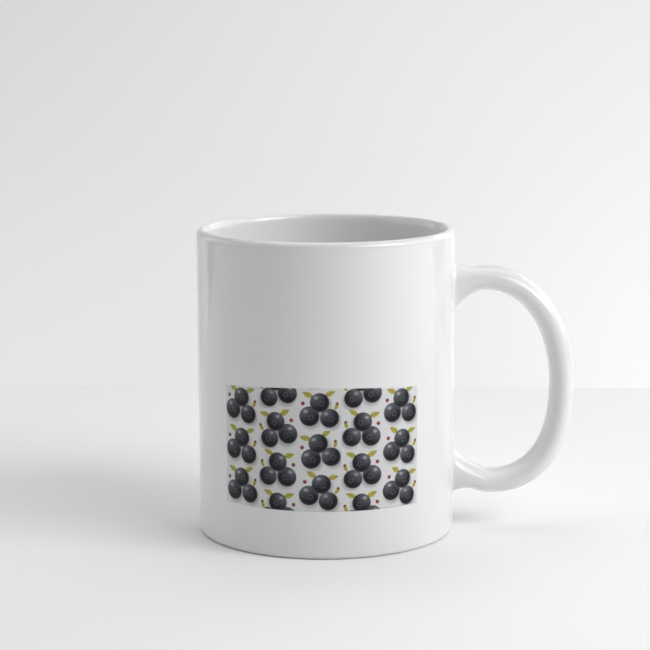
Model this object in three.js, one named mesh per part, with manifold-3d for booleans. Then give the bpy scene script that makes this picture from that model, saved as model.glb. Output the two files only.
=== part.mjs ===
// A straight-sided glazed mug with an oval strap handle, in millimetres, +Z up.
// It stands on Z = 0 with the handle towards +X, and is alike on both sides of the plane Y = 0.
// The origin is under the middle of its whole length, so the cup's own axis stands at X = CUP_AXIS_X.
// Cup and handle are joined before glazing and fired together, so they are one solid.

import * as THREE from "three";
import { mergeVertices } from "three/addons/utils/BufferGeometryUtils.js";
import Module from "manifold-3d";

// Cup
const HEIGHT = 96;
const RIM_RADIUS = 40.35; // outside, at the lip
const FOOT_RADIUS = 40.2; // outside, just above the foot
const LIP_OUTSIDE = 1.85; // radius of the lip's outer edge, up to its crest
const LIP_WIDTH = 1.3; // from the crest in to the wall's inside, in a slower round
const LIP_DEPTH = 3.2; // how far down that inner round reaches
const LOWER_WALL = 4.7; // wall thickness just above the inner corner
const FLOOR_HEIGHT = 7.5; // inner floor above the table
const INNER_CORNER = 9; // radius between inner floor and wall

// Foot: a flat ring, bare of glaze, round a shallow recess
const FOOT_CORNER = 1.6; // radius between outer wall and ring
const RING_INNER_RADIUS = 33.6;
const RECESS_DEPTH = 1.7;
const RECESS_SLOPE = 1.6; // how far the recess's side leans inwards

// Handle: an oval strap swept round a loop in the plane Y = 0
const HANDLE_REACH = 78.2; // from the cup's axis to the loop's outermost point
const STRAP_THICKNESS = 7.65; // in the plane of the loop
const STRAP_WIDTH = 12.5; // across it
const OVAL_POWER = 2.1; // of the oval section and root outlines: 2 is an ellipse, more is squarer

// The loop's centre line leaves the upper root, turns at the widest point and comes back to the lower root.
// Each value is a place in the plane Y = 0, as distance from the cup's axis and height.
const ROOT_DISTANCE = 48.5; // where the plain strap ends and the roots start to spread
const UPPER_ROOT = { z: 79.9, lead: [12.8, 1.5] };
const WIDEST = { z: 46.1, above: 22.9, below: 32.9 };
const LOWER_ROOT = { z: 15.6, lead: [4.4, -1.8] };

// Each root spreads on to the wall: the heights of its edges there outside and inside the loop,
// how strongly each edge turns along the wall, and its half width.
const UPPER_SPREAD = { outside: 85.2, outsideRun: 2.5, inside: 69, insideRun: 8, halfWidth: 7.4 };
const LOWER_SPREAD = { outside: 11.2, outsideRun: 1.8, inside: 27.4, insideRun: 12, halfWidth: 7.4 };
const SIDE_FILLET = 1.3; // the strap's sides stay flat until this close to the wall
const ROOT_SINK = 0.6; // the spread root meets the wall this far under its surface
const ROOT_DEPTH = 2; // and its end is buried this deep in the wall

// Fineness
const CUP_SIDES = 72;
const STRAP_SIDES = 24;
const STRAP_STATIONS = 30;
const ROOT_STATIONS = 8;

// Worked-out sizes
const CUP_AXIS_X = -(HANDLE_REACH - RIM_RADIUS) / 2;
const WIDEST_DISTANCE = HANDLE_REACH - STRAP_THICKNESS / 2;

// Points of an arc in the half plane (distance from axis, height), angles in degrees.
// It is circular unless it is given a half height of its own.
function arc(x, y, radius, from, to, steps, halfHeight = radius) {
  const curve = new THREE.EllipseCurve(
    x, y, radius, halfHeight,
    THREE.MathUtils.degToRad(from), THREE.MathUtils.degToRad(to), to < from,
  );
  return curve.getPoints(steps);
}

// The cup's half section, from the middle of the underside, round the outside and lip, to the inner floor.
function cupProfile() {
  const crest = RIM_RADIUS - LIP_OUTSIDE;
  const recessRadius = RING_INNER_RADIUS - RECESS_SLOPE;
  const innerRadius = FOOT_RADIUS - LOWER_WALL;
  return [
    new THREE.Vector2(0, RECESS_DEPTH),
    new THREE.Vector2(recessRadius, RECESS_DEPTH),
    new THREE.Vector2(RING_INNER_RADIUS, 0),
    ...arc(FOOT_RADIUS - FOOT_CORNER, FOOT_CORNER, FOOT_CORNER, -90, 0, 4),
    ...arc(crest, HEIGHT - LIP_OUTSIDE, LIP_OUTSIDE, 0, 90, 4),
    ...arc(crest, HEIGHT - LIP_DEPTH, LIP_WIDTH, 90, 180, 6, LIP_DEPTH).slice(1),
    ...arc(innerRadius - INNER_CORNER, FLOOR_HEIGHT + INNER_CORNER, INNER_CORNER, 0, -90, 6),
    new THREE.Vector2(0, FLOOR_HEIGHT),
  ];
}

// A three.js geometry as a manifold-3d solid, from its positions alone.
function solidOf(wasm, geometry) {
  const bare = new THREE.BufferGeometry();
  bare.setAttribute("position", geometry.getAttribute("position"));
  bare.setIndex(geometry.getIndex());
  const merged = mergeVertices(bare, 1e-4);
  return new wasm.Manifold(
    new wasm.Mesh({
      numProp: 3,
      vertProperties: merged.getAttribute("position").array,
      triVerts: new Uint32Array(merged.getIndex().array),
    }),
  );
}

// A manifold-3d solid back as a three.js geometry.
function geometryOf(solid) {
  const mesh = solid.getMesh();
  const geometry = new THREE.BufferGeometry();
  geometry.setAttribute("position", new THREE.BufferAttribute(mesh.vertProperties, mesh.numProp));
  geometry.setIndex(new THREE.BufferAttribute(mesh.triVerts, 1));
  geometry.computeVertexNormals();
  return geometry;
}

function cupGeometry() {
  const geometry = new THREE.LatheGeometry(cupProfile(), CUP_SIDES);
  geometry.rotateX(Math.PI / 2);
  return geometry;
}

// The loop's centre line as two curves that meet upright at the widest point.
function loopCurves() {
  const upper = new THREE.Vector2(ROOT_DISTANCE, UPPER_ROOT.z);
  const widest = new THREE.Vector2(WIDEST_DISTANCE, WIDEST.z);
  const lower = new THREE.Vector2(ROOT_DISTANCE, LOWER_ROOT.z);
  return [
    new THREE.CubicBezierCurve(
      upper,
      upper.clone().add(new THREE.Vector2(...UPPER_ROOT.lead)),
      new THREE.Vector2(widest.x, widest.y + WIDEST.above),
      widest,
    ),
    new THREE.CubicBezierCurve(
      widest,
      new THREE.Vector2(widest.x, widest.y - WIDEST.below),
      lower.clone().add(new THREE.Vector2(...LOWER_ROOT.lead)),
      lower,
    ),
  ];
}

// Angles round the strap's section: 0 is the loop's outside, and a quarter turn is its +Y edge.
function sectionAngles() {
  return Array.from({ length: STRAP_SIDES }, (_, i) => (i / STRAP_SIDES) * 2 * Math.PI);
}

// A power that keeps its base's sign.
function signedPower(base, power) {
  return Math.sign(base) * Math.abs(base) ** power;
}

// A point of the oval of unit half axes: x is towards the loop's outside, y is across it.
function oval(angle) {
  const power = 2 / OVAL_POWER;
  return new THREE.Vector2(
    signedPower(Math.cos(angle), power),
    signedPower(Math.sin(angle), power),
  );
}

// The strap's oval section at a point of the centre line, square to its direction of travel.
function strapRing(point, tangent) {
  return sectionAngles().map((angle) => {
    const place = oval(angle);
    const out = (STRAP_THICKNESS / 2) * place.x;
    return new THREE.Vector3(
      point.x - out * tangent.y,
      (STRAP_WIDTH / 2) * place.y,
      point.y + out * tangent.x,
    );
  });
}

// A root's outline wrapped on the wall at a given depth under its surface.
function wallRing(spread, depth) {
  const middle = (spread.outside + spread.inside) / 2;
  const half = (spread.outside - spread.inside) / 2;
  return sectionAngles().map((angle) => {
    const place = oval(angle);
    const turn = (spread.halfWidth * place.y) / RIM_RADIUS;
    const radius = RIM_RADIUS - depth;
    return new THREE.Vector3(
      radius * Math.cos(turn),
      radius * Math.sin(turn),
      middle + half * place.x,
    );
  });
}

// Where one of a root's two edges is in the plane of the loop, from the strap (t = 0) to the wall (t = 1).
// It leaves along heading and ends along the wall, away from the root's middle.
function rootEdge(start, heading, spread, height, run, t) {
  const middle = (spread.outside + spread.inside) / 2;
  return new THREE.Vector3()
    .addScaledVector(start, 2 * t ** 3 - 3 * t ** 2 + 1)
    .addScaledVector(heading, (ROOT_DISTANCE - RIM_RADIUS) * (t ** 3 - 2 * t ** 2 + t))
    .addScaledVector(new THREE.Vector3(RIM_RADIUS - ROOT_SINK, 0, height), 3 * t ** 2 - 2 * t ** 3)
    .addScaledVector(new THREE.Vector3(0, 0, Math.sign(height - middle) * run), t ** 3 - t ** 2);
}

// Rings that carry the strap's end on to the wall: ovals between the two edges, with flat sides
// that only round outwards close to the wall. heading is the unit direction of travel into the wall.
function rootRings(strapEnd, heading, spread) {
  const onWall = wallRing(spread, ROOT_SINK);
  const angles = sectionAngles();
  const rings = [];
  for (let station = 1; station <= ROOT_STATIONS; station++) {
    const t = station / ROOT_STATIONS;
    const outside = rootEdge(strapEnd[0], heading, spread, spread.outside, spread.outsideRun, t);
    const inside = rootEdge(
      strapEnd[STRAP_SIDES / 2], heading, spread, spread.inside, spread.insideRun, t,
    );
    rings.push(
      onWall.map((wall, i) => {
        const point = inside.clone().lerp(outside, (1 + oval(angles[i]).x) / 2);
        point.x -= (RIM_RADIUS - ROOT_SINK - wall.x) * (3 * t ** 2 - 2 * t ** 3);
        const gap = (point.x - wall.x) / (SIDE_FILLET + ROOT_SINK);
        const widening = 1 - Math.sqrt(1 - (1 - Math.min(1, Math.max(0, gap))) ** 2);
        point.y = THREE.MathUtils.lerp(strapEnd[i].y, wall.y, widening);
        return point;
      }),
    );
  }
  rings.push(wallRing(spread, ROOT_DEPTH));
  return rings;
}

// A closed skin through rings of equal length, with a fan of triangles over each end.
function skin(rings) {
  const size = rings[0].length;
  const points = rings.flat();
  const faces = [];
  for (let r = 0; r + 1 < rings.length; r++) {
    for (let i = 0; i < size; i++) {
      const a = r * size + i;
      const b = r * size + ((i + 1) % size);
      faces.push(a, b + size, b, a, a + size, b + size);
    }
  }
  const ends = [rings[0], rings[rings.length - 1]];
  ends.forEach((ring, end) => {
    const first = end === 0 ? 0 : (rings.length - 1) * size;
    const middle = points.length;
    points.push(ring.reduce((sum, p) => sum.add(p), new THREE.Vector3()).divideScalar(size));
    for (let i = 0; i < size; i++) {
      const edge = [first + i, first + ((i + 1) % size)];
      faces.push(middle, ...(end === 0 ? edge : edge.reverse()));
    }
  });
  const geometry = new THREE.BufferGeometry().setFromPoints(points);
  geometry.setIndex(faces);
  return geometry;
}

function handleGeometry() {
  const rings = [];
  const halves = loopCurves();
  halves.forEach((curve, half) => {
    const steps = STRAP_STATIONS / halves.length;
    for (let i = half; i <= steps; i++) {
      rings.push(strapRing(curve.getPointAt(i / steps), curve.getTangentAt(i / steps)));
    }
  });
  const leaving = halves[0].getTangentAt(0);
  const returning = halves[1].getTangentAt(1);
  const upper = rootRings(rings[0], new THREE.Vector3(-leaving.x, 0, -leaving.y), UPPER_SPREAD);
  const lower = rootRings(
    rings[rings.length - 1],
    new THREE.Vector3(returning.x, 0, returning.y),
    LOWER_SPREAD,
  );
  return skin([...upper.reverse(), ...rings, ...lower]);
}

const wasm = await Module();
wasm.setup();

const glaze = new THREE.MeshStandardMaterial({ color: 0xf2f2f1, roughness: 0.12, metalness: 0 });
const mug = new THREE.Mesh(
  geometryOf(solidOf(wasm, cupGeometry()).add(solidOf(wasm, handleGeometry()))),
  glaze,
);
mug.name = "mug";
mug.position.x = CUP_AXIS_X;

const part = new THREE.Group();
part.add(mug);

export default part;
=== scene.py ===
"""A white glazed mug with a printed panel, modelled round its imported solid.

Lengths are in metres. The mug stands on Z = 0 with its handle towards +X and its print towards -Y.
"""

import math

import bmesh
import bpy
import numpy as np
from mathutils import Euler, Matrix, Vector


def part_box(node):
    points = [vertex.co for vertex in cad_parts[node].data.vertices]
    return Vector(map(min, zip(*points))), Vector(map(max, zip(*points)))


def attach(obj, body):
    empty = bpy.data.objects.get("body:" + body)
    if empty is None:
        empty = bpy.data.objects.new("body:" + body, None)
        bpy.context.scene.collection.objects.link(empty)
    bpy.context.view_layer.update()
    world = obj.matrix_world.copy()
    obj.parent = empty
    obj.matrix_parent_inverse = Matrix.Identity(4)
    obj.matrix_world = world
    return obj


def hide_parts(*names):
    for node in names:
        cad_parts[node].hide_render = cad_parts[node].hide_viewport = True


bl_info = {
    "name": "Printed Mug",
    "version": (1, 0, 0),
    "blender": (4, 5, 0),
    "location": "3D View > Sidebar > Printed Mug",
    "description": "Builds a glazed mug, the panel printed on it and a small studio",
    "category": "Add Mesh",
}

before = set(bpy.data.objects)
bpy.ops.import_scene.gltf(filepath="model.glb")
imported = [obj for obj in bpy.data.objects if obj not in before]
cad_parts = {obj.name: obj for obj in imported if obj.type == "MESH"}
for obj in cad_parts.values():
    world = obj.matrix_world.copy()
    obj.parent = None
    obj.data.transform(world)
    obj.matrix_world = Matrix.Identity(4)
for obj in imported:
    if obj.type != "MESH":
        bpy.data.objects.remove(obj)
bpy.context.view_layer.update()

MM = 0.001
LOW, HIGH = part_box("mug")
HEIGHT = HIGH.z
RIM_RADIUS = HIGH.y
AXIS_X = LOW.x + RIM_RADIUS
HANDLE_REACH = HIGH.x - AXIS_X

# How finely the surfaces are cut
AROUND = 256  # faces round the cup
WALL_ROWS = 92  # faces up the outer wall
PATCH_COLUMNS = 24  # faces across the square of wall that each handle root is let into
PATCH_ROWS = 26
ROOT_RINGS = 20
COLLAR_RINGS = 6
STRAP_RINGS = 104
PANEL_COLUMNS = 132
PANEL_ROWS = 76
WELD = 1e-7  # points nearer than this are one

MAP_NAME = "OFBake"  # the map that the surface's colours are baked through
# Each grid's rectangle on the mug's map: left, bottom, right, top
WALL_CHART = (0.004, 0.004, 0.866, 0.345)
INNER_CHART = (0.004, 0.352, 0.866, 0.818)
FOOT_CHART = (0.004, 0.825, 0.866, 0.996)
STRAP_CHART = (0.876, 0.093, 0.996, 0.907)
UPPER_CHARTS = ((0.876, 0.050, 0.996, 0.086), (0.876, 0.004, 0.996, 0.043))
LOWER_CHARTS = ((0.876, 0.914, 0.996, 0.950), (0.876, 0.957, 0.996, 0.996))
# and on the panel's: the print's face, its back and its four rims
FACE_CHART = (0.004, 0.004, 0.996, 0.800)
BACK_CHART = (0.004, 0.810, 0.996, 0.930)
RIM_CHARTS = tuple((0.004, low, 0.996, low + 0.008) for low in (0.94, 0.954, 0.968, 0.982))

OVAL_POWER = 2.1  # of the strap's oval: 2 is an ellipse, more is squarer

# The loop's centre line: the heights of its two ends and widest point, how the curve leaves each end
# (away from the axis, up) and how far it runs straight above and below the widest point
UPPER_END = 79.9 * MM
UPPER_LEAD = (12.8 * MM, 1.5 * MM)
WIDEST = 46.1 * MM
ABOVE_WIDEST = 22.9 * MM
BELOW_WIDEST = 32.9 * MM
LOWER_END = 15.6 * MM
LOWER_LEAD = (4.4 * MM, -1.8 * MM)
CURVE_STEPS = 400  # steps in which the centre line's length is measured

GLAZE_IOR = 1.52
RIPPLE_HEIGHT = 0.05 * MM  # of the glaze's fine ripple, which only turns the light
INK_ROOT = 0.25 * MM  # how deep the ink film's plate is let into the wall
RECESS_SLOPE = 1.6 * MM  # how far the side of the hollow under the foot leans inwards
RECESS_ROUND = 0.9 * MM  # radius at the top of that side
RECESS_DOME = 0.25 * MM  # rise of the hollow's middle


# ---------------------------------------------------------------- sizes and colours


def length(name, description, default, **more):
    """A length property in metres."""
    return bpy.props.FloatProperty(
        name=name, description=description, default=default, unit="LENGTH", precision=5, **more
    )


def colour(name, description, default):
    """A colour property, as linear red, green and blue."""
    return bpy.props.FloatVectorProperty(
        name=name, description=description, default=default, size=3, subtype="COLOR", min=0, max=1
    )


class CupSizes(bpy.types.PropertyGroup):
    """Sizes of the cup that its outer box doesn't give."""

    foot_radius: length("Foot radius", "Outside radius just above the foot", 40.2 * MM)
    lip_outside: length("Lip outside", "Radius of the lip's outer edge", 1.85 * MM)
    lip_width: length("Lip width", "From the lip's crest in to the wall's inside", 1.3 * MM)
    lip_depth: length("Lip depth", "How far down the lip's inner rounding reaches", 3.2 * MM)
    lower_wall: length("Lower wall", "Wall thickness above the inner corner", 4.7 * MM)
    floor_height: length("Inner floor", "Height of the inner floor above the table", 7.5 * MM)
    inner_corner: length("Inner corner", "Radius between inner floor and wall", 9 * MM)
    foot_corner: length("Foot corner", "Radius between outer wall and foot ring", 1.6 * MM)
    ring_radius: length("Ring radius", "Inner radius of the flat foot ring", 33.6 * MM)
    recess: length("Recess", "Depth of the hollow inside the foot ring", 1.7 * MM)
    glaze_step: length("Glaze step", "How far the glaze stands proud of the bare clay", 0.12 * MM)
    waviness: length("Waviness", "How far the fired surface strays from true", 0.035 * MM)
    lip_runs: length("Lip runs", "How far the runs in the glaze under the lip stand out", 0.07 * MM)


class HandleSizes(bpy.types.PropertyGroup):
    """Sizes of the strap and of the roots that join it to the wall."""

    thickness: length("Thickness", "Of the strap, in the plane of the loop", 7.65 * MM)
    width: length("Width", "Of the strap, across the loop", 12.5 * MM)
    root_distance: length("Root distance", "From the axis to where the roots begin", 48.5 * MM)
    root_half_width: length("Root half width", "Of both roots, on the wall", 7.4 * MM)
    side_fillet: length("Side fillet", "How near the wall the straight sides come", 1.3 * MM)


class InkColours(bpy.types.PropertyGroup):
    """Colours of the printed panel."""

    ground: colour("Ground", "Pale grey behind the sprigs", (0.684, 0.688, 0.692))
    shade: colour("Shade", "Soft shadow under each berry", (0.13, 0.11, 0.115))
    berry: colour("Berry", "Shaded side of each berry", (0.007, 0.007, 0.011))
    berry_light: colour("Berry light", "Lit side of each berry", (0.13, 0.135, 0.16))
    bloom: colour("Bloom", "Highlight on each berry", (0.36, 0.38, 0.42))
    leaf: colour("Leaf", "Leaves", (0.46, 0.42, 0.08))
    leaf_dark: colour("Leaf vein", "Veins of the leaves", (0.14, 0.15, 0.04))
    accent: colour("Accent", "Unripe berries", (0.26, 0.03, 0.035))


class PanelSizes(bpy.types.PropertyGroup):
    """Place and repeat of the printed panel, measured along the wall."""

    left: length("Left edge", "Along the wall from the front line", -34.4 * MM)
    right: length("Right edge", "Along the wall from the front line", 30.4 * MM)
    bottom: length("Bottom edge", "Height above the table", 15.0 * MM)
    top: length("Top edge", "Height above the table, at its middle", 52.6 * MM)
    bow: length("Bow", "How far the top edge falls towards its ends", 1.5 * MM)
    proud: length("Proud", "How far the ink film stands off the wall", 0.04 * MM)
    repeat_width: length("Repeat width", "Width of one sprig's cell", 12.96 * MM)
    repeat_height: length("Repeat height", "Height of one sprig's cell", 12.4 * MM)


class GlazeFinish(bpy.types.PropertyGroup):
    """Colours and gloss of the glaze and of the bare clay ring."""

    white: colour("White", "Glaze over the clay body", (0.80, 0.80, 0.80))
    # A greyer white, mixed in at random over the glaze and most strongly on the inner floor and up the
    # inner corner
    greyed_white: colour("Greyed", "Thicker glaze in the hollows", (0.745, 0.745, 0.745))
    clay: colour("Clay", "Bare fired clay of the foot ring", (0.66, 0.62, 0.55))
    roughness: bpy.props.FloatProperty(
        name="Roughness", description="Of the glaze", default=0.07, min=0, max=1, subtype="FACTOR"
    )
    print_roughness: bpy.props.FloatProperty(
        name="Print roughness", description="Of the ink film", default=0.2, min=0, max=1, subtype="FACTOR"
    )


class StageSettings(bpy.types.PropertyGroup):
    """Camera, surroundings and light."""

    camera_distance: length("Camera distance", "From the cup's axis, along the floor", 0.63868)
    camera_height: length("Camera height", "Above the floor", 0.171628)
    camera_pitch: bpy.props.FloatProperty(
        name="Pitch", description="Downward tilt", default=math.radians(9.477), subtype="ANGLE"
    )
    camera_yaw: bpy.props.FloatProperty(
        name="Yaw", description="To the left", default=math.radians(0.022), subtype="ANGLE"
    )
    camera_roll: bpy.props.FloatProperty(
        name="Roll", description="About the view line", default=math.radians(-0.19), subtype="ANGLE"
    )
    lens: bpy.props.FloatProperty(name="Lens", description="Focal length", default=113.95)
    table_edge: length("Table edge", "Behind the cup's axis", 0.2288)
    edge_turn: bpy.props.FloatProperty(
        name="Edge turn", description="Of the table's back edge", default=-0.0435, subtype="ANGLE"
    )
    wall_distance: length("Wall distance", "Behind the cup's axis", 1.3)
    floor_white: colour("Floor", "White of the table", (0.90, 0.90, 0.90))
    wall_white: colour("Wall", "White of the backdrop", (0.80, 0.80, 0.80))
    room_light: bpy.props.FloatProperty(
        name="Room light", description="Even light from all round", default=0.065, min=0
    )


# ---------------------------------------------------------------- shader maths


class Value:
    """A number socket of a material. Arithmetic on it adds Math nodes."""

    def __init__(self, shader, socket):
        self.shader = shader
        self.socket = socket

    def math(self, operation, *others):
        node = self.shader.node("ShaderNodeMath", {"operation": operation}, (self, *others))
        return Value(self.shader, node.outputs[0])

    def __add__(self, other):
        return self.math("ADD", other)

    def __radd__(self, other):
        return self.math("ADD", other)

    def __sub__(self, other):
        return self.math("SUBTRACT", other)

    def __rsub__(self, other):
        node = self.shader.node("ShaderNodeMath", {"operation": "SUBTRACT"}, (other, self))
        return Value(self.shader, node.outputs[0])

    def __mul__(self, other):
        return self.math("MULTIPLY", other)

    def __rmul__(self, other):
        return self.math("MULTIPLY", other)

    def __truediv__(self, other):
        return self.math("DIVIDE", other)

    def __neg__(self):
        return self.math("MULTIPLY", -1.0)

    def __abs__(self):
        return self.math("ABSOLUTE")

    def __mod__(self, other):
        return self.math("FLOORED_MODULO", other)

    def floor(self):
        return self.math("FLOOR")

    def root(self):
        return self.math("SQRT")

    def sine(self):
        return self.math("SINE")

    def cosine(self):
        return self.math("COSINE")

    def clamped(self):
        node = self.shader.node("ShaderNodeClamp", {}, {"Value": self})
        return Value(self.shader, node.outputs[0])

    def step(self, low, high):
        """0 where this is under low, 1 where it is over high, and smooth between them."""
        node = self.shader.node(
            "ShaderNodeMapRange",
            {"interpolation_type": "SMOOTHSTEP"},
            {"Value": self, "From Min": low, "From Max": high},
        )
        return Value(self.shader, node.outputs[0])


class Shader:
    """A material made of nodes, with one Principled surface."""

    def __init__(self, name):
        self.material = bpy.data.materials.new(name)
        self.material.use_nodes = True
        self.tree = self.material.node_tree
        self.tree.nodes.clear()
        output = self.tree.nodes.new("ShaderNodeOutputMaterial")
        self.surface = self.tree.nodes.new("ShaderNodeBsdfPrincipled")
        self.tree.links.new(self.surface.outputs[0], output.inputs["Surface"])

    def node(self, kind, settings, inputs):
        """Adds a node, sets its settings and then its inputs, by name or in order."""
        node = self.tree.nodes.new(kind)
        for key, setting in settings.items():
            setattr(node, key, setting)
        pairs = inputs.items() if isinstance(inputs, dict) else enumerate(inputs)
        for key, given in pairs:
            self.feed(node.inputs[key], given)
        return node

    def feed(self, socket, given):
        """Links a socket, or sets it to a plain number, colour or vector."""
        if isinstance(given, Value):
            given = given.socket
        if isinstance(given, bpy.types.NodeSocket):
            self.tree.links.new(given, socket)
        elif socket.type == "RGBA":
            socket.default_value = (*given[:3], 1.0)
        else:
            socket.default_value = given

    def set(self, **inputs):
        """Feeds the surface's sockets, named with _ for each space."""
        for key, given in inputs.items():
            self.feed(self.surface.inputs[key.replace("_", " ")], given)

    def place(self):
        """The point's place in the part's frame: the vector socket and its x, y and z."""
        vector = self.node("ShaderNodeTexCoord", {}, {}).outputs["Object"]
        split = self.node("ShaderNodeSeparateXYZ", {}, {"Vector": vector})
        return vector, *(Value(self, out) for out in split.outputs)

    def noise(self, vector, scale, detail=2.0, roughness=0.5):
        """Noise from 0 to 1, with scale in repeats a metre."""
        node = self.node(
            "ShaderNodeTexNoise",
            {},
            {"Vector": vector, "Scale": scale, "Detail": detail, "Roughness": roughness},
        )
        return Value(self, node.outputs["Fac"])

    def mix(self, factor, first, second):
        """A colour between first and second."""
        node = self.node("ShaderNodeMix", {"data_type": "RGBA"}, {"Factor": factor})
        self.feed(node.inputs[6], first)
        self.feed(node.inputs[7], second)
        return node.outputs[2]

    def bump(self, height, distance):
        """A normal that follows height, whose whole range of 0 to 1 stands for distance."""
        inputs = {"Height": height, "Distance": distance, "Strength": 1.0}
        return self.node("ShaderNodeBump", {}, inputs).outputs["Normal"]


# ---------------------------------------------------------------- meshes


def quad_corners(grid):
    """The four corners of each square of a grid."""
    return np.stack([grid[:-1, :-1], grid[:-1, 1:], grid[1:, 1:], grid[1:, :-1]], axis=2)


class Sheets:
    """Grids of points that are welded into one mesh, with a map that gives each grid a rectangle."""

    def __init__(self):
        self.points = []
        self.quads = []
        self.spots = []
        self.count = 0

    def add(self, grid, chart, closed=False, keep=None):
        """Adds a grid of rows of points. closed joins each row's end to its start.

        chart is the grid's rectangle on the map: left, bottom, right, top.
        keep, an array with one flag a face, leaves faces out where it is False.
        """
        rows, columns, _ = grid.shape
        index = self.count + np.arange(rows * columns).reshape(rows, columns)
        if closed:
            index = np.hstack([index, index[:, :1]])
        steps = np.linalg.norm(np.diff(grid[:, 0], axis=0), axis=1)
        walked = np.concatenate([[0], np.cumsum(steps)]) / steps.sum()
        left, bottom, right, top = chart
        across = np.linspace(left, right, index.shape[1])
        spots = np.stack(np.meshgrid(across, bottom + (top - bottom) * walked), axis=-1)
        wanted = slice(None) if keep is None else keep
        self.points.append(grid.reshape(-1, 3))
        self.quads.append(quad_corners(index)[wanted].reshape(-1, 4))
        self.spots.append(quad_corners(spots)[wanted].reshape(-1, 2))
        self.count += rows * columns

    def build(self, name):
        """The welded object, with smooth faces that point out."""
        points = np.vstack(self.points)
        quads = np.vstack(self.quads)
        mesh = bpy.data.meshes.new(name)
        mesh.from_pydata(points.tolist(), [], quads.tolist())
        layer = mesh.uv_layers.new(name=MAP_NAME)
        layer.uv.foreach_set("vector", np.vstack(self.spots).ravel())
        body = bmesh.new()
        body.from_mesh(mesh)
        bmesh.ops.remove_doubles(body, verts=body.verts, dist=WELD)
        bmesh.ops.dissolve_degenerate(body, edges=body.edges, dist=WELD)
        loose = [vertex for vertex in body.verts if not vertex.link_faces]
        bmesh.ops.delete(body, geom=loose, context="VERTS")
        bmesh.ops.recalc_face_normals(body, faces=body.faces)
        for face in body.faces:
            face.smooth = True
        body.to_mesh(mesh)
        body.free()
        made = bpy.data.objects.new(name, mesh)
        bpy.context.scene.collection.objects.link(made)
        return made


def stray(cup, points):
    """How far each point of the fired surface lies off true.

    The body has slow waves in fixed directions, and the glaze under the lip has runs in it.
    """
    waves = (
        ((96, 31, 140), 0.4, 0.42),
        ((-118, 87, 66), 1.9, 0.33),
        ((41, -160, 118), 3.1, 0.25),
    )
    total = sum(
        share * np.sin(points @ np.array(direction) + phase) for direction, phase, share in waves
    )
    x, y, z = points[..., 0] - AXIS_X, points[..., 1], points[..., 2]
    settled = np.clip((z - 2 * MM) / (6 * MM), 0, 1)
    turn = np.arctan2(y, x)
    depth = HEIGHT - z - (6 + 1.6 * np.sin(7 * turn + 0.5)) * MM
    runs = 0.5 * np.sin(9 * turn + 1) + 0.3 * np.sin(16 * turn + 2.2) + 0.2 * np.sin(29 * turn)
    near_lip = np.exp(-((depth / (2.6 * MM)) ** 2)) * (np.hypot(x, y) > RIM_RADIUS - 3 * MM)
    return cup.waviness * total * settled + cup.lip_runs * runs * near_lip


def arc_points(centre, radius, start, end, steps):
    """Points of a circular arc as (distance from axis, height), angles in degrees."""
    turn = np.radians(np.linspace(start, end, steps + 1))
    return np.stack([centre[0] + radius * np.cos(turn), centre[1] + radius * np.sin(turn)], axis=1)


def straight(start, end, steps):
    """Points of a straight line, both ends included."""
    return np.linspace(start, end, steps + 1)


def revolve(profile):
    """The grid of a profile turned round the cup's axis, its first column towards +X."""
    turn = np.arange(AROUND) * 2 * math.pi / AROUND
    reach, height = profile[:, :1], profile[:, 1:]
    return np.stack(
        [
            AXIS_X + reach * np.cos(turn),
            reach * np.sin(turn),
            np.broadcast_to(height, (len(profile), AROUND)),
        ],
        axis=-1,
    )


def wall_radius(cup, height):
    """Outer radius of the wall at a height."""
    low, high = cup.foot_corner, HEIGHT - cup.lip_outside
    share = (height - low) / (high - low)
    return cup.foot_radius + (RIM_RADIUS - cup.foot_radius) * share


def on_wall(cup, turn, height):
    """Points on the outer wall. turn is measured from the handle."""
    radius = wall_radius(cup, height)
    return np.stack([AXIS_X + radius * np.cos(turn), radius * np.sin(turn), height], axis=-1)


def signed_power(base, power):
    """A power that keeps its base's sign."""
    return np.sign(base) * np.abs(base) ** power


def oval(angles):
    """Points of the strap's oval of unit half axes: towards the loop's outside, and across it."""
    return (signed_power(wave(angles), 2 / OVAL_POWER) for wave in (np.cos, np.sin))


class Root:
    """Where the handle's strap spreads on to the wall.

    outside and inside are the heights of its edges there, outside and inside the loop. Each run is
    how strongly that edge turns along the wall.
    """

    def __init__(self, outside, outside_run, inside, inside_run):
        self.middle = (outside + inside) / 2
        self.half = (outside - inside) / 2
        self.runs = (outside_run, inside_run)

    def outline(self, angles, half_width):
        """Turn about the cup's axis and height of the root's outline on the wall."""
        out, side = oval(angles)
        return half_width * side / RIM_RADIUS, self.middle + self.half * out


UPPER_ROOT = Root(85.2 * MM, 2.5 * MM, 69 * MM, 8 * MM)
LOWER_ROOT = Root(11.2 * MM, 1.8 * MM, 27.4 * MM, 12 * MM)


def bezier(corners, share):
    """Points and unit directions along a cubic curve."""
    a, b, c, d = (np.array(corner) for corner in corners)
    t = share[:, None]
    points = a * (1 - t) ** 3 + 3 * b * t * (1 - t) ** 2 + 3 * c * t * t * (1 - t) + d * t**3
    travel = (b - a) * (1 - t) ** 2 + 2 * (c - b) * t * (1 - t) + (d - c) * t * t
    return points, travel / np.linalg.norm(travel, axis=1)[:, None]


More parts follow.
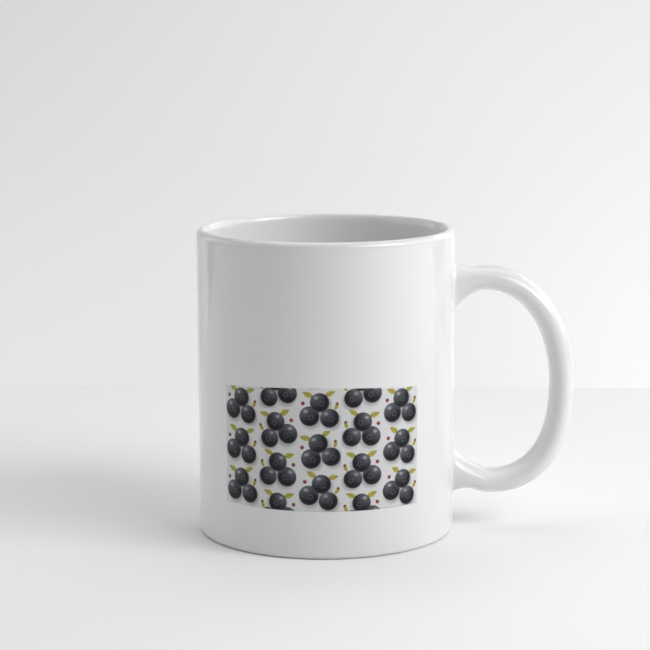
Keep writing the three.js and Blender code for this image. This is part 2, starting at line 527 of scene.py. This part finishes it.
def loop_line(handle):
    """The loop's centre line: evenly spaced places (distance from axis, height) and directions."""
    widest = (HANDLE_REACH - handle.thickness / 2, WIDEST)
    upper = (handle.root_distance, UPPER_END)
    lower = (handle.root_distance, LOWER_END)
    halves = (
        (
            upper,
            (upper[0] + UPPER_LEAD[0], upper[1] + UPPER_LEAD[1]),
            (widest[0], widest[1] + ABOVE_WIDEST),
            widest,
        ),
        (
            widest,
            (widest[0], widest[1] - BELOW_WIDEST),
            (lower[0] + LOWER_LEAD[0], lower[1] + LOWER_LEAD[1]),
            lower,
        ),
    )
    fine = np.linspace(0, 1, CURVE_STEPS)
    places, travels = [], []
    for number, corners in enumerate(halves):
        dense, _ = bezier(corners, fine)
        walked = np.concatenate([[0], np.cumsum(np.linalg.norm(np.diff(dense, axis=0), axis=1))])
        steps = STRAP_RINGS // 2
        share = np.interp(np.linspace(0, walked[-1], steps + 1)[number:], walked, fine)
        place, travel = bezier(corners, share)
        places.append(place)
        travels.append(travel)
    return np.vstack(places), np.vstack(travels)


def strap_rings(handle, angles):
    """The strap's oval sections, from the upper root to the lower."""
    places, travels = loop_line(handle)
    out, side = oval(angles)
    out = handle.thickness / 2 * out
    side = handle.width / 2 * side
    rings = np.stack(
        [
            AXIS_X + places[:, :1] - travels[:, 1:] * out,
            np.broadcast_to(side, (len(places), len(angles))),
            places[:, 1:] + travels[:, :1] * out,
        ],
        axis=-1,
    )
    headings = [(-travels[0][0], 0, -travels[0][1]), (travels[-1][0], 0, travels[-1][1])]
    return rings, np.array(headings)


def root_rings(cup, handle, root, start, heading, angles):
    """Rings that carry the strap's end on to the wall, with sides that stay flat until close to it."""
    turn, height = root.outline(angles, handle.root_half_width)
    wall = on_wall(cup, turn, height)
    reach = handle.root_distance - RIM_RADIUS
    t = np.linspace(0, 1, ROOT_RINGS + 1)[:, None]
    arrival = 3 * t**2 - 2 * t**3
    edges = []
    for side, run, begin in zip((1, -1), root.runs, (start[0], start[len(angles) // 2])):
        height = root.middle + side * root.half
        end = np.array([AXIS_X + wall_radius(cup, height), 0, height])
        along = np.array([0, 0, math.copysign(run, side * root.half)])
        edges.append(
            begin * (1 - arrival)
            + heading * reach * (t**3 - 2 * t**2 + t)
            + end * arrival
            + along * (t**3 - t**2)
        )
    out, _ = oval(angles)
    share = (1 + out[None, :, None]) / 2
    rings = edges[0][:, None] * share + edges[1][:, None] * (1 - share)
    rings[..., 0] -= (rings[-1, :, 0] - wall[:, 0]) * arrival
    gap = np.clip((rings[..., 0] - wall[:, 0]) / handle.side_fillet, 0, 1)
    widening = 1 - np.sqrt(1 - (1 - gap) ** 2)
    rings[..., 1] = start[:, 1] + (wall[:, 1] - start[:, 1]) * widening
    return rings


def patch_edge(first_row, downward):
    """Turns and row numbers round the square of wall that a root is let into.

    The walk starts at the middle of the square's far side and goes towards +Y first.
    """
    half = PATCH_COLUMNS // 2
    far, near = (first_row, first_row + PATCH_ROWS) if downward else (first_row + PATCH_ROWS, first_row)
    step = 1 if near > far else -1
    walk = [(c, far) for c in range(0, half)]
    walk += [(half, r) for r in range(far, near, step)]
    walk += [(c, near) for c in range(half, -half, -1)]
    walk += [(-half, r) for r in range(near, far, -step)]
    walk += [(c, far) for c in range(-half, 0)]
    walk = np.array(walk, float)
    return walk[:, 0] * 2 * math.pi / AROUND, walk[:, 1]


def foot_profile(cup):
    """Underside of the foot, from the middle out to the glazed wall, with the ring bare of glaze."""
    step = cup.glaze_step
    bare = cup.foot_corner - step
    corner = (cup.foot_radius - cup.foot_corner, bare)
    inner = cup.ring_radius - RECESS_SLOPE
    return np.vstack(
        [
            straight((0, cup.recess + RECESS_DOME), (inner - 2 * MM, cup.recess), 12),
            arc_points((inner - RECESS_ROUND, cup.recess - RECESS_ROUND), RECESS_ROUND, 90, 46, 5),
            straight(
                (cup.ring_radius - 0.55 * MM, 0.6 * MM), (cup.ring_radius - 0.25 * MM, 0.32 * MM), 2
            ),
            straight((cup.ring_radius - 0.12 * MM, 0.24 * MM), (cup.ring_radius, 0.2 * MM), 1),
            straight((cup.ring_radius, 0.2 * MM - step), (cup.ring_radius + 0.4 * MM, 0), 3),
            straight((cup.ring_radius + 1 * MM, 0), (corner[0] - 0.3 * MM, 0), 4),
            arc_points(corner, bare, -90, -58, 4),
            arc_points(corner, cup.foot_corner, -56, 0, 7),
        ]
    )


def inner_profile(cup):
    """From the lip's outer edge over the lip and down to the middle of the inner floor."""
    crest = RIM_RADIUS - cup.lip_outside
    inner = cup.foot_radius - cup.lower_wall
    rounding = arc_points((0, 0), 1, 90, 180, 16)[1:] * (cup.lip_width, cup.lip_depth)
    return np.vstack(
        [
            arc_points((crest, HEIGHT - cup.lip_outside), cup.lip_outside, 0, 90, 9),
            rounding + (crest, HEIGHT - cup.lip_depth),
            straight(
                (crest - cup.lip_width, HEIGHT - cup.lip_depth),
                (inner, cup.floor_height + cup.inner_corner),
                70,
            )[1:],
            arc_points(
                (inner - cup.inner_corner, cup.floor_height + cup.inner_corner),
                cup.inner_corner,
                0,
                -90,
                16,
            )[1:],
            straight((inner - cup.inner_corner, cup.floor_height), (0, cup.floor_height), 18)[1:],
        ]
    )


def mug_mesh(cup, handle):
    """Cup and handle as one welded skin."""
    sheets = Sheets()
    sheets.add(revolve(foot_profile(cup)), FOOT_CHART, closed=True)
    sheets.add(revolve(inner_profile(cup)), INNER_CHART, closed=True)

    heights = np.linspace(cup.foot_corner - cup.glaze_step, HEIGHT - cup.lip_outside, WALL_ROWS + 1)
    wall = np.stack([wall_radius(cup, heights), heights], axis=1)
    wall[0, 0] = cup.foot_radius
    around = 2 * (PATCH_COLUMNS + PATCH_ROWS)
    angles = np.arange(around) * 2 * math.pi / around
    straps, headings = strap_rings(handle, angles)
    sheets.add(straps, STRAP_CHART, closed=True)

    keep = np.ones((WALL_ROWS, AROUND), bool)
    half = PATCH_COLUMNS // 2
    ends = (
        (UPPER_ROOT, straps[0], headings[0], UPPER_CHARTS),
        (LOWER_ROOT, straps[-1], headings[1], LOWER_CHARTS),
    )
    for root, start, heading, charts in ends:
        first_row = int(round(np.interp(root.middle, heights, np.arange(WALL_ROWS + 1)))) - PATCH_ROWS // 2
        columns = np.arange(-half, half) % AROUND
        keep[first_row : first_row + PATCH_ROWS, columns] = False
        sheets.add(root_rings(cup, handle, root, start, heading, angles), charts[0], closed=True)
        turn, height = root.outline(angles, handle.root_half_width)
        edge_turn, edge_row = patch_edge(first_row, downward=root.half < 0)
        edge_height = np.interp(edge_row, np.arange(WALL_ROWS + 1), heights)
        share = np.linspace(0, 1, COLLAR_RINGS + 1)[:, None]
        collar = on_wall(cup, turn + (edge_turn - turn) * share, height + (edge_height - height) * share)
        sheets.add(collar, charts[1], closed=True)
    sheets.add(revolve(wall), WALL_CHART, closed=True, keep=keep)
    return sheets.build("mug_shell")


def let_stray(made, cup):
    """Moves each point along its normal by the small error of the firing."""
    mesh = made.data
    points = np.empty(len(mesh.vertices) * 3)
    normals = np.empty(len(mesh.vertices) * 3)
    mesh.vertices.foreach_get("co", points)
    mesh.vertices.foreach_get("normal", normals)
    points, normals = points.reshape(-1, 3), normals.reshape(-1, 3)
    points += normals * stray(cup, points)[:, None]
    mesh.vertices.foreach_set("co", points.ravel())
    mesh.update()


def panel_mesh(cup, panel):
    """The ink film: a thin curved plate let into the wall, a hair proud of it."""
    middle, reach = (panel.left + panel.right) / 2, (panel.right - panel.left) / 2
    across = np.linspace(panel.left, panel.right, PANEL_COLUMNS + 1)
    top = panel.top - panel.bow * ((across - middle) / reach) ** 2
    share = np.linspace(0, 1, PANEL_ROWS + 1)[:, None]
    height = panel.bottom + (top - panel.bottom) * share
    turn = np.broadcast_to(across / RIM_RADIUS - math.pi / 2, height.shape)
    wall = on_wall(cup, turn, height)
    outward = np.stack([np.cos(turn), np.sin(turn), np.zeros_like(turn)], axis=-1)
    wall = wall + outward * stray(cup, wall)[..., None]
    front = wall + outward * panel.proud
    back = wall - outward * INK_ROOT
    sheets = Sheets()
    sheets.add(front, FACE_CHART)
    sheets.add(back, BACK_CHART)
    for rim, chart in zip((np.s_[0, :], np.s_[-1, :], np.s_[:, 0], np.s_[:, -1]), RIM_CHARTS):
        sheets.add(np.stack([front[rim], back[rim]]), chart)
    return sheets.build("printed_panel")


# ---------------------------------------------------------------- materials


def glaze_material(cup, finish):
    """White glaze with a slow ripple, and bare clay where the foot ring touches the table."""
    shader = Shader("glaze")
    place, x, y, z = shader.place()
    radius = ((x - AXIS_X) * (x - AXIS_X) + y * y).root()
    cloud = shader.noise(place, 55, 3)
    fine = shader.noise(place, 420, 2)
    ripple = shader.noise(place, 85, 1)
    grain = shader.noise(place, 5200, 2)

    under = 1 - z.step(0.26 * MM, 0.34 * MM)
    ring = radius.step(cup.ring_radius - 0.06 * MM, cup.ring_radius - 0.01 * MM)
    bare = under * ring
    inside = 1 - radius.step(cup.foot_radius - cup.lower_wall - 0.5 * MM, cup.foot_radius - cup.lower_wall)
    deep = 1 - z.step(cup.floor_height + 1 * MM, cup.floor_height + cup.inner_corner)
    # The greyer white is mixed in at random by the cloud, and most strongly on the inner floor and up the
    # inner corner
    greyed_white = inside * deep * 0.7 + cloud * 0.25
    white = shader.mix(greyed_white, finish.white, finish.greyed_white)
    clay = shader.mix(grain, finish.clay, tuple(part * 0.86 for part in finish.clay))
    shader.set(
        Base_Color=shader.mix(bare, white, clay),
        Roughness=(fine * 0.05 + finish.roughness) * (1 - bare) + bare * 0.82,
        IOR=GLAZE_IOR,
        Normal=shader.bump(ripple * 0.8 + fine * 0.08 + bare * grain * 0.6, RIPPLE_HEIGHT),
    )
    return shader.material


# One sprig, in millimetres from the middle of its cell. Berries are (centre, radius, turn of the
# crown in degrees), unripe ones (centre, radius), leaves (foot, heading in degrees, length, half width).
BERRIES = (((-3.05, -1.75), 3.05, 10), ((3.0, -2.45), 2.9, 47), ((0.15, 2.35), 2.95, 80))
LEAVES = (((1.6, 4.3), 22, 3.7, 0.85), ((-1.5, 4.0), 156, 3.9, 0.9), ((4.5, -0.1), 60, 2.7, 0.6))
UNRIPE = (((-4.9, 2.2), 0.62), ((5.3, 1.9), 0.48))


class Sprig:
    """One sprig of the print, painted in layers from the ground up."""

    def __init__(self, shader, ink, u, v, paint):
        self.shader = shader
        self.ink = ink
        self.u = u
        self.v = v
        self.paint = paint

    def away(self, centre):
        """Distance from a point of the sprig."""
        du, dv = self.u - centre[0], self.v - centre[1]
        return (du * du + dv * dv).root()

    def lay(self, mask, tint):
        """Paints over what is there."""
        self.paint = self.shader.mix(mask, self.paint, tint)

    def leaf(self, foot, heading, long, half):
        """A pointed leaf with a midrib and side veins."""
        c, s = math.cos(math.radians(heading)), math.sin(math.radians(heading))
        du, dv = self.u - foot[0], self.v - foot[1]
        along = ((du * c + dv * s) / long).clamped()
        beside = dv * c - du * s
        spare = (along * math.pi).sine() * (1.2 - along * 0.4) * half - abs(beside)
        self.lay(spare.step(0.0, 0.1), self.ink.leaf)
        side_veins = ((abs(beside) * 5 - along * (long * 6)).sine() + 1) * 0.16
        midrib = (1 - abs(beside).step(0.02, 0.12)) * 0.7
        self.lay(spare.step(0.04, 0.16) * (side_veins + midrib).clamped(), self.ink.leaf_dark)

    def unripe(self, centre, size):
        """A small red berry with a glint."""
        self.lay(1 - self.away(centre).step(size - 0.08, size + 0.04), self.ink.accent)
        glint = self.away((centre[0] - 0.2, centre[1] + 0.24))
        self.lay((1 - glint.step(0.05, 0.36)) * 0.6, self.ink.bloom)

    def berry(self, centre, size, turn):
        """A round dark berry: its shadow, shaded skin, highlights and five-pointed crown."""
        fallen = self.away((centre[0] + 0.5, centre[1] - 0.7))
        self.lay((1 - fallen.step(size * 0.72, size * 1.32)) * 0.5, self.ink.shade)
        du, dv = (self.u - centre[0]) / size, (self.v - centre[1]) / size
        out = (du * du + dv * dv).root()
        facing = (1 - (out * out).clamped()).root()
        mottle = self.shader.noise(self.shader.place()[0], 900, 3)
        lit = (facing * 0.55 - du * 0.5 + dv * 0.62).clamped()
        skin = self.shader.mix((lit * lit * (mottle + 0.4)).clamped(), self.ink.berry, self.ink.berry_light)
        edge = out.step(0.8, 0.97) * (1 - dv).clamped() * 0.35
        skin = self.shader.mix(edge, skin, self.ink.berry_light)
        glint = ((du + 0.36) * (du + 0.36) * 1.6 + (dv - 0.5) * (dv - 0.5) * 3).root()
        skin = self.shader.mix((1 - glint.step(0.1, 0.42)) * 0.85, skin, self.ink.bloom)

        cu, cv = du - 0.2, dv + 0.12
        reach = (cu * cu + cv * cv).root()
        points = (cv.math("ARCTAN2", cu) * 5 + math.radians(turn)).cosine() * 0.075 + 0.25
        crown = 1 - (reach - points).step(-0.03, 0.03)
        skin = self.shader.mix(crown * (reach * 1.6 + 0.12).clamped(), skin, self.ink.berry_light)
        skin = self.shader.mix(1 - reach.step(0.07, 0.17), skin, self.ink.berry)
        self.lay(1 - out.step(1 - 0.1 / size, 1 + 0.04 / size), skin)


def print_material(panel, ink, finish):
    """A half-drop repeat of sprigs of round dark berries on pale grey, under clear glaze."""
    shader = Shader("printed_ink")
    place, x, y, z = shader.place()
    across = ((x - AXIS_X).math("ARCTAN2", -y) * RIM_RADIUS - panel.left) / MM
    height = (z - panel.bottom) / MM
    width, tall = panel.repeat_width / MM, panel.repeat_height / MM

    column = (across / width).floor()
    odd = column % 2
    dropped = height + odd * (tall / 2)
    row = (dropped / tall).floor()
    local_x = (across - (column + 0.5) * width) * (1 - odd * 2)
    local_y = dropped - (row + 0.5) * tall
    cell = shader.node("ShaderNodeCombineXYZ", {}, (column, row, 0.0)).outputs[0]
    chance = Value(shader, shader.node("ShaderNodeTexWhiteNoise", {}, {"Vector": cell}).outputs["Value"])
    tilt = (chance - 0.5) * 0.5

    wash = shader.noise(place, 70, 2)
    sprig = Sprig(
        shader,
        ink,
        local_x * tilt.cosine() + local_y * tilt.sine(),
        local_y * tilt.cosine() - local_x * tilt.sine(),
        shader.mix(wash * 0.5, ink.ground, tuple(part * 0.965 for part in ink.ground)),
    )
    for leaf in LEAVES:
        sprig.leaf(*leaf)
    for unripe in UNRIPE:
        sprig.unripe(*unripe)
    for berry in BERRIES:
        sprig.berry(*berry)

    ripple = shader.noise(place, 85, 1)
    fine = shader.noise(place, 420, 2)
    shader.set(
        Base_Color=sprig.paint,
        Roughness=fine * 0.05 + finish.print_roughness,
        IOR=GLAZE_IOR,
        Specular_IOR_Level=0.2,
        Normal=shader.bump(ripple * 0.8 + fine * 0.08, RIPPLE_HEIGHT),
    )
    return shader.material


# ---------------------------------------------------------------- operators


class MUG_OT_shell(bpy.types.Operator):
    """Builds the cup and handle as one glazed piece"""

    bl_idname = "printed_mug.shell"
    bl_label = "Mug"

    def execute(self, context):
        settings = context.scene
        cup, handle = settings.mug_cup, settings.mug_handle
        made = mug_mesh(cup, handle)
        let_stray(made, cup)
        made.data.materials.append(glaze_material(cup, settings.mug_glaze))
        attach(made, "root")
        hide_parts("mug")
        return {"FINISHED"}


class MUG_OT_panel(bpy.types.Operator):
    """Lays the printed panel on the front of the wall"""

    bl_idname = "printed_mug.panel"
    bl_label = "Printed panel"

    def execute(self, context):
        settings = context.scene
        made = panel_mesh(settings.mug_cup, settings.mug_panel)
        made.data.materials.append(
            print_material(settings.mug_panel, settings.mug_ink, settings.mug_glaze)
        )
        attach(made, "root")
        return {"FINISHED"}


def plain_sheet(name, corners, tint):
    """A flat four-cornered piece of the stage."""
    mesh = bpy.data.meshes.new(name)
    mesh.from_pydata(corners, [], [(0, 1, 2, 3)])
    made = bpy.data.objects.new(name, mesh)
    bpy.context.scene.collection.objects.link(made)
    shader = Shader(name)
    shader.set(Base_Color=tint, Roughness=0.9, Specular_IOR_Level=0.1)
    mesh.materials.append(shader.material)


STAGE_REACH = 3  # how far floor and backdrop reach to each side
WALL_FOOT = -2  # the backdrop's lower edge, out of sight under the table's level
# The lamps aimed at the cup: name, azimuth and elevation in degrees, distance, size, watts.
# Azimuth 0 is the camera's side and 90 the handle's.
CUP_LAMPS = (
    ("key", 52, 42, 1.0, (0.68, 0.42), 3.5),
    ("key_low", 62, 30, 1.0, (0.50, 0.30), 2.0),
    ("side", 80, 28, 1.0, (0.60, 0.40), 2.0),
    ("top", 60, 84, 1.1, (1.0, 1.0), 1.25),
    ("top_left", -110, 68, 1.1, (0.80, 0.80), 2.0),
    ("top_rear", 170, 60, 1.1, (0.80, 0.60), 1.5),
    ("left", -98, 16, 1.0, (1.40, 0.55), 3.0),
    ("right_rear", 125, 20, 0.9, (0.90, 0.50), 2.0),
)
# The lamps that wash the backdrop: name, distance right of the cup, height, watts
WALL_LAMP_Y = 0.75
WALL_LAMP_SIZE = (0.4, 0.4)
WALL_LAMPS = (
    ("wash_top", 0.2, 0.4, 0.75),
    ("wash_right", 0.6, 0.1, 0.5),
    ("wash_low_right", 0.5, -0.35, 2.5),
    ("wash_low_left", -0.4, -0.35, 1.5),
    ("wash_far_left", -1.5, -0.25, 4.5),
    ("wash_far_right", 1.3, -0.2, 3.0),
)


def soft_box(name, place, target, size, power, mirrored=True):
    """A rectangular lamp that faces a point; the glaze can mirror it or not."""
    lamp = bpy.data.lights.new(name, "AREA")
    lamp.shape = "RECTANGLE"
    lamp.size, lamp.size_y = size
    lamp.energy = power
    made = bpy.data.objects.new(name, lamp)
    made.location = place
    made.rotation_euler = (Vector(target) - Vector(place)).to_track_quat("-Z", "Y").to_euler()
    made.visible_camera = False
    made.visible_glossy = mirrored
    bpy.context.scene.collection.objects.link(made)


class MUG_OT_stage(bpy.types.Operator):
    """Sets the floor, backdrop, lamps and camera"""

    bl_idname = "printed_mug.stage"
    bl_label = "Studio"

    def execute(self, context):
        scene = context.scene
        stage = scene.mug_stage
        edge, slope, wall = stage.table_edge, math.tan(stage.edge_turn), stage.wall_distance
        far = STAGE_REACH
        back = [(side, edge + (side - AXIS_X) * slope, 0) for side in (far, -far)]
        plain_sheet("floor", [(-far, -far, 0), (far, -far, 0), *back], stage.floor_white)
        corners = [(-far, wall, WALL_FOOT), (far, wall, WALL_FOOT), (far, wall, far), (-far, wall, far)]
        plain_sheet("backdrop", corners, stage.wall_white)

        world = bpy.data.worlds.new("studio")
        world.use_nodes = True
        sky = world.node_tree.nodes["Background"]
        sky.inputs["Color"].default_value = (1, 1, 1, 1)
        sky.inputs["Strength"].default_value = stage.room_light
        scene.world = world
        middle = Vector((AXIS_X, 0, HEIGHT / 2))
        for name, azimuth, elevation, distance, size, power in CUP_LAMPS:
            turn, rise = math.radians(azimuth), math.radians(elevation)
            way = (math.sin(turn) * math.cos(rise), -math.cos(turn) * math.cos(rise), math.sin(rise))
            soft_box(name, middle + Vector(way) * distance, middle, size, power)
        for name, side, height, power in WALL_LAMPS:
            place = (AXIS_X + side, WALL_LAMP_Y, height)
            target = (AXIS_X + side * 0.7, wall, height * 0.3)
            soft_box(name, place, target, WALL_LAMP_SIZE, power, mirrored=False)

        lens = bpy.data.cameras.new("camera")
        lens.sensor_width = 36
        lens.lens = stage.lens
        lens.clip_start = 0.01
        camera = bpy.data.objects.new("camera", lens)
        camera.location = (AXIS_X, -stage.camera_distance, stage.camera_height)
        aim = Euler((math.pi / 2 - stage.camera_pitch, 0, stage.camera_yaw)).to_matrix()
        camera.rotation_euler = (aim @ Matrix.Rotation(stage.camera_roll, 3, "Z")).to_euler()
        scene.collection.objects.link(camera)
        scene.camera = camera
        scene.view_settings.view_transform = "Standard"
        return {"FINISHED"}


class MUG_PT_sidebar(bpy.types.Panel):
    """Lists the pieces of the mug and their sizes"""

    bl_idname = "MUG_PT_sidebar"
    bl_label = "Printed Mug"
    bl_space_type = "VIEW_3D"
    bl_region_type = "UI"
    bl_category = "Printed Mug"

    def draw(self, context):
        layout = self.layout
        for operator in OPERATORS:
            layout.operator(operator.bl_idname)
        for name in SETTINGS:
            group = getattr(context.scene, name)
            box = layout.box()
            for key in group.bl_rna.properties.keys():
                if key not in ("name", "rna_type"):
                    box.prop(group, key)


OPERATORS = (MUG_OT_shell, MUG_OT_panel, MUG_OT_stage)
SETTINGS = {
    "mug_cup": CupSizes,
    "mug_handle": HandleSizes,
    "mug_panel": PanelSizes,
    "mug_ink": InkColours,
    "mug_glaze": GlazeFinish,
    "mug_stage": StageSettings,
}
CLASSES = (*SETTINGS.values(), *OPERATORS, MUG_PT_sidebar)


def register():
    for made in CLASSES:
        bpy.utils.register_class(made)
    for name, group in SETTINGS.items():
        setattr(bpy.types.Scene, name, bpy.props.PointerProperty(type=group))


def unregister():
    for name in SETTINGS:
        delattr(bpy.types.Scene, name)
    for made in reversed(CLASSES):
        bpy.utils.unregister_class(made)


def main():
    register()
    bpy.ops.printed_mug.shell()
    bpy.ops.printed_mug.panel()
    bpy.ops.printed_mug.stage()


if __name__ == "__main__":
    main()
